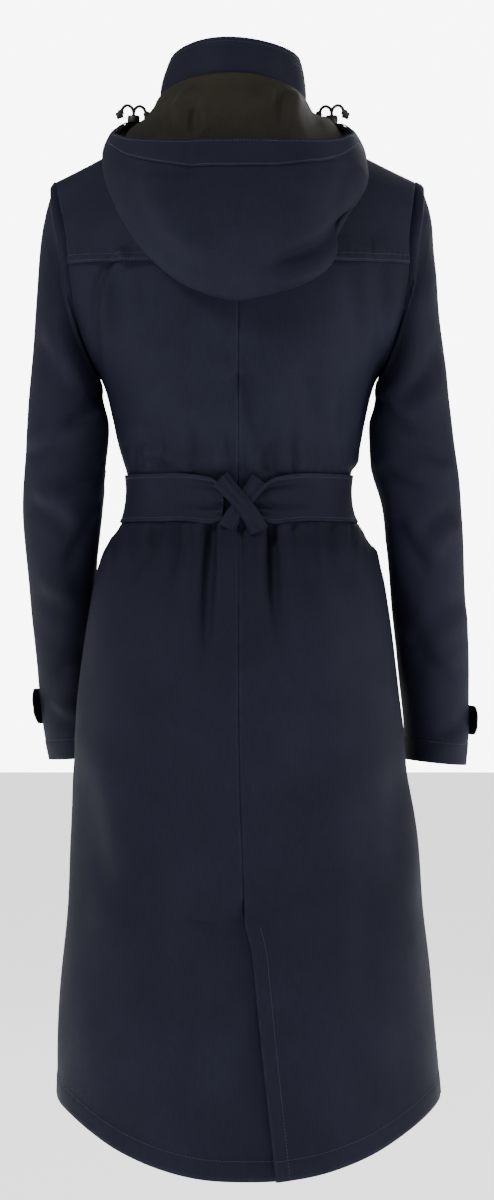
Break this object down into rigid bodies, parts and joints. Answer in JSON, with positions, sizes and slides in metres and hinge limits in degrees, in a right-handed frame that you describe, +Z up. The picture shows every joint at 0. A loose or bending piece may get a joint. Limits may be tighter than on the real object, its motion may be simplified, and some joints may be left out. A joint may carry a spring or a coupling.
{
  "type": "hooded raincoat",
  "caption": "Long hooded raincoat with stand collar, back storm flap, belt knotted behind, vented hem and press-stud cuff tabs, in its worn hollow form.",
  "frame": {"origin": "middle of the neck opening, at the height of the collar's seam", "axes": "+Z up along the wearer's spine, +X to the wearer's left, -Y the way the wearer faces"},
  "size_m": [0.5148, 0.3887, 1.2456],
  "materials": {
    "shell_cloth": "matte proofed navy cloth",
    "lining_cloth": "matte olive-brown lining",
    "cord_black": "braided black cord",
    "lock_plastic": "matte black moulded",
    "stud_metal": "dark gunmetal lacquer"
  },
  "bodies": {
    "root": {"back_left": "shell_cloth", "back_right": "shell_cloth", "front_left": "shell_cloth", "front_right": "shell_cloth", "back_yoke": "shell_cloth", "sleeve_left": "shell_cloth", "sleeve_right": "shell_cloth", "cuff_tab_left": "shell_cloth", "cuff_tab_right": "shell_cloth", "collar": "shell_cloth", "hood": "shell_cloth", "hood_hem": "shell_cloth", "placket": "shell_cloth", "belt": "shell_cloth", "knot_over": "shell_cloth", "knot_under": "shell_cloth", "hood_lining": "lining_cloth", "cord_left_a": "cord_black", "cord_left_b": "cord_black", "cord_right_a": "cord_black", "cord_right_b": "cord_black", "cord_knot_left_a": "cord_black", "cord_knot_left_b": "cord_black", "cord_knot_right_a": "cord_black", "cord_knot_right_b": "cord_black", "cord_lock_left": "lock_plastic", "cord_lock_right": "lock_plastic", "press_stud_1": "stud_metal", "press_stud_2": "stud_metal", "press_stud_3": "stud_metal", "press_stud_4": "stud_metal", "press_stud_5": "stud_metal", "press_stud_6": "stud_metal", "press_stud_7": "stud_metal", "press_stud_8": "stud_metal", "cuff_stud_left": "stud_metal", "cuff_stud_right": "stud_metal", "eyelet_left": "stud_metal", "eyelet_right": "stud_metal"}
  },
  "joints": []
}
